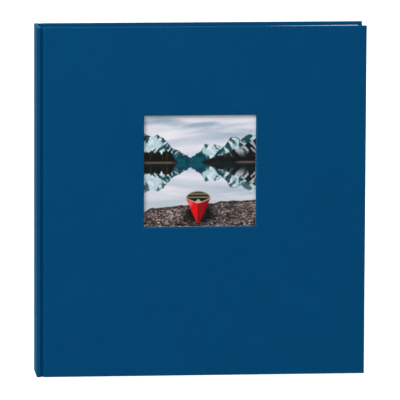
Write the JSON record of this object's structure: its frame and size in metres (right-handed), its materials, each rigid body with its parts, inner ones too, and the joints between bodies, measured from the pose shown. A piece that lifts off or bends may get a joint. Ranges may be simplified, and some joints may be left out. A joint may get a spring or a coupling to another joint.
{
  "type": "scrapbook album",
  "caption": "Book-bound scrapbook album: linen case with a picture window in the front cover, card leaves that fan open and glassine between them.",
  "frame": {"origin": "middle of the tail of the closed album, on the surface it stands on", "axes": "+X from the spine to the fore-edge, +Y from the front cover to the rear cover, +Z from tail to head"},
  "size_m": [0.3, 0.038, 0.32],
  "materials": {
    "linen": "fine plain-weave book linen, matt",
    "board": "grey-brown bookbinder's board",
    "kraft": "kraft paper",
    "mull": "open-weave starched cotton",
    "headband": "woven bead with blue stripes",
    "leaf_card": "uncoated white card",
    "endpaper": "uncoated white paper",
    "pocket_card": "smooth white card",
    "picture": "satin printed landscape",
    "glassine": "translucent glassine, faintly embossed"
  },
  "bodies": {
    "text_block": {"spine_board": "board", "spine_cloth": "linen", "spine_lining": "kraft", "mull": "mull", "headband": "headband", "tailband": "headband", "binding_margins": "leaf_card", "page_guards": "leaf_card", "front_joint_cloth": "linen", "rear_joint_cloth": "linen"},
    "front_cover": {"front_board": "board", "front_cloth": "linen", "front_pastedown": "endpaper", "pocket_spacer": "pocket_card", "pocket_backing": "pocket_card"},
    "picture": {"picture_print": "picture"},
    "rear_cover": {"rear_board": "board", "rear_cloth": "linen", "rear_pastedown": "endpaper"},
    "front_flyleaf": {"front_flyleaf": "endpaper"},
    "rear_flyleaf": {"rear_flyleaf": "endpaper"},
    "leaf_01": {"leaf_01": "leaf_card", "interleaf_01": "glassine"},
    "leaf_02": {"leaf_02": "leaf_card", "interleaf_02": "glassine"},
    "leaf_03": {"leaf_03": "leaf_card", "interleaf_03": "glassine"},
    "leaf_04": {"leaf_04": "leaf_card", "interleaf_04": "glassine"},
    "leaf_05": {"leaf_05": "leaf_card", "interleaf_05": "glassine"},
    "leaf_06": {"leaf_06": "leaf_card", "interleaf_06": "glassine"},
    "leaf_07": {"leaf_07": "leaf_card", "interleaf_07": "glassine"},
    "leaf_08": {"leaf_08": "leaf_card", "interleaf_08": "glassine"},
    "leaf_09": {"leaf_09": "leaf_card", "interleaf_09": "glassine"},
    "leaf_10": {"leaf_10": "leaf_card", "interleaf_10": "glassine"},
    "leaf_11": {"leaf_11": "leaf_card", "interleaf_11": "glassine"},
    "leaf_12": {"leaf_12": "leaf_card", "interleaf_12": "glassine"},
    "leaf_13": {"leaf_13": "leaf_card", "interleaf_13": "glassine"},
    "leaf_14": {"leaf_14": "leaf_card", "interleaf_14": "glassine"},
    "leaf_15": {"leaf_15": "leaf_card", "interleaf_15": "glassine"},
    "leaf_16": {"leaf_16": "leaf_card", "interleaf_16": "glassine"},
    "leaf_17": {"leaf_17": "leaf_card", "interleaf_17": "glassine"},
    "leaf_18": {"leaf_18": "leaf_card", "interleaf_18": "glassine"},
    "leaf_19": {"leaf_19": "leaf_card", "interleaf_19": "glassine"},
    "leaf_20": {"leaf_20": "leaf_card"}
  },
  "joints": [
    {"name": "front_cover_hinge", "type": "hinge", "parent": "text_block", "child": "front_cover", "pos_m": [-0.14525, -0.0192, 0.16], "axis": [0, 0, -1], "range_deg": [0, 179]},
    {"name": "rear_cover_hinge", "type": "hinge", "parent": "text_block", "child": "rear_cover", "pos_m": [-0.14525, 0.0192, 0.16], "axis": [0, 0, 1], "range_deg": [0, 179]},
    {"name": "picture_slide", "type": "slide", "parent": "front_cover", "child": "picture", "axis": [0, 0, 1], "range_m": [0, 0.112]},
    {"name": "front_flyleaf_turn", "type": "hinge", "parent": "text_block", "child": "front_flyleaf", "pos_m": [-0.1335, -0.01383, 0.16], "axis": [0, 0, -1], "range_deg": [0, 76]},
    {"name": "leaf_01_turn", "type": "hinge", "parent": "text_block", "child": "leaf_01", "pos_m": [-0.1335, -0.01247, 0.16], "axis": [0, 0, -1], "range_deg": [0, 68.76]},
    {"name": "leaf_02_turn", "type": "hinge", "parent": "text_block", "child": "leaf_02", "pos_m": [-0.1335, -0.01111, 0.16], "axis": [0, 0, -1], "range_deg": [0, 61.52]},
    {"name": "leaf_03_turn", "type": "hinge", "parent": "text_block", "child": "leaf_03", "pos_m": [-0.1335, -0.00975, 0.16], "axis": [0, 0, -1], "range_deg": [0, 54.29]},
    {"name": "leaf_04_turn", "type": "hinge", "parent": "text_block", "child": "leaf_04", "pos_m": [-0.1335, -0.00839, 0.16], "axis": [0, 0, -1], "range_deg": [0, 47.05]},
    {"name": "leaf_05_turn", "type": "hinge", "parent": "text_block", "child": "leaf_05", "pos_m": [-0.1335, -0.00703, 0.16], "axis": [0, 0, -1], "range_deg": [0, 39.81]},
    {"name": "leaf_06_turn", "type": "hinge", "parent": "text_block", "child": "leaf_06", "pos_m": [-0.1335, -0.00567, 0.16], "axis": [0, 0, -1], "range_deg": [0, 32.57]},
    {"name": "leaf_07_turn", "type": "hinge", "parent": "text_block", "child": "leaf_07", "pos_m": [-0.1335, -0.00431, 0.16], "axis": [0, 0, -1], "range_deg": [0, 25.33]},
    {"name": "leaf_08_turn", "type": "hinge", "parent": "text_block", "child": "leaf_08", "pos_m": [-0.1335, -0.00295, 0.16], "axis": [0, 0, -1], "range_deg": [0, 18.1]},
    {"name": "leaf_09_turn", "type": "hinge", "parent": "text_block", "child": "leaf_09", "pos_m": [-0.1335, -0.00159, 0.16], "axis": [0, 0, -1], "range_deg": [0, 10.86]},
    {"name": "leaf_10_turn", "type": "hinge", "parent": "text_block", "child": "leaf_10", "pos_m": [-0.1335, -0.00023, 0.16], "axis": [0, 0, -1], "range_deg": [0, 3.62]},
    {"name": "leaf_11_turn", "type": "hinge", "parent": "text_block", "child": "leaf_11", "pos_m": [-0.1335, 0.00113, 0.16], "axis": [0, 0, 1], "range_deg": [0, 3.62]},
    {"name": "leaf_12_turn", "type": "hinge", "parent": "text_block", "child": "leaf_12", "pos_m": [-0.1335, 0.00249, 0.16], "axis": [0, 0, 1], "range_deg": [0, 10.86]},
    {"name": "leaf_13_turn", "type": "hinge", "parent": "text_block", "child": "leaf_13", "pos_m": [-0.1335, 0.00385, 0.16], "axis": [0, 0, 1], "range_deg": [0, 18.1]},
    {"name": "leaf_14_turn", "type": "hinge", "parent": "text_block", "child": "leaf_14", "pos_m": [-0.1335, 0.00521, 0.16], "axis": [0, 0, 1], "range_deg": [0, 25.33]},
    {"name": "leaf_15_turn", "type": "hinge", "parent": "text_block", "child": "leaf_15", "pos_m": [-0.1335, 0.00657, 0.16], "axis": [0, 0, 1], "range_deg": [0, 32.57]},
    {"name": "leaf_16_turn", "type": "hinge", "parent": "text_block", "child": "leaf_16", "pos_m": [-0.1335, 0.00793, 0.16], "axis": [0, 0, 1], "range_deg": [0, 39.81]},
    {"name": "leaf_17_turn", "type": "hinge", "parent": "text_block", "child": "leaf_17", "pos_m": [-0.1335, 0.00929, 0.16], "axis": [0, 0, 1], "range_deg": [0, 47.05]},
    {"name": "leaf_18_turn", "type": "hinge", "parent": "text_block", "child": "leaf_18", "pos_m": [-0.1335, 0.01065, 0.16], "axis": [0, 0, 1], "range_deg": [0, 54.29]},
    {"name": "leaf_19_turn", "type": "hinge", "parent": "text_block", "child": "leaf_19", "pos_m": [-0.1335, 0.01201, 0.16], "axis": [0, 0, 1], "range_deg": [0, 61.52]},
    {"name": "leaf_20_turn", "type": "hinge", "parent": "text_block", "child": "leaf_20", "pos_m": [-0.1335, 0.01337, 0.16], "axis": [0, 0, 1], "range_deg": [0, 68.76]},
    {"name": "rear_flyleaf_turn", "type": "hinge", "parent": "text_block", "child": "rear_flyleaf", "pos_m": [-0.1335, 0.01473, 0.16], "axis": [0, 0, 1], "range_deg": [0, 76]}
  ],
  "couplings": [
    {"joint": "front_flyleaf_turn", "follows": "front_cover_hinge", "ratio": 0.42458},
    {"joint": "leaf_01_turn", "follows": "front_cover_hinge", "ratio": 0.38414},
    {"joint": "leaf_02_turn", "follows": "front_cover_hinge", "ratio": 0.34371},
    {"joint": "leaf_03_turn", "follows": "front_cover_hinge", "ratio": 0.30327},
    {"joint": "leaf_04_turn", "follows": "front_cover_hinge", "ratio": 0.26283},
    {"joint": "leaf_05_turn", "follows": "front_cover_hinge", "ratio": 0.2224},
    {"joint": "leaf_06_turn", "follows": "front_cover_hinge", "ratio": 0.18196},
    {"joint": "leaf_07_turn", "follows": "front_cover_hinge", "ratio": 0.14153},
    {"joint": "leaf_08_turn", "follows": "front_cover_hinge", "ratio": 0.10109},
    {"joint": "leaf_09_turn", "follows": "front_cover_hinge", "ratio": 0.060653},
    {"joint": "leaf_10_turn", "follows": "front_cover_hinge", "ratio": 0.020217},
    {"joint": "leaf_11_turn", "follows": "rear_cover_hinge", "ratio": 0.020217},
    {"joint": "leaf_12_turn", "follows": "rear_cover_hinge", "ratio": 0.060653},
    {"joint": "leaf_13_turn", "follows": "rear_cover_hinge", "ratio": 0.10109},
    {"joint": "leaf_14_turn", "follows": "rear_cover_hinge", "ratio": 0.14153},
    {"joint": "leaf_15_turn", "follows": "rear_cover_hinge", "ratio": 0.18196},
    {"joint": "leaf_16_turn", "follows": "rear_cover_hinge", "ratio": 0.2224},
    {"joint": "leaf_17_turn", "follows": "rear_cover_hinge", "ratio": 0.26283},
    {"joint": "leaf_18_turn", "follows": "rear_cover_hinge", "ratio": 0.30327},
    {"joint": "leaf_19_turn", "follows": "rear_cover_hinge", "ratio": 0.34371},
    {"joint": "leaf_20_turn", "follows": "rear_cover_hinge", "ratio": 0.38414},
    {"joint": "rear_flyleaf_turn", "follows": "rear_cover_hinge", "ratio": 0.42458}
  ]
}
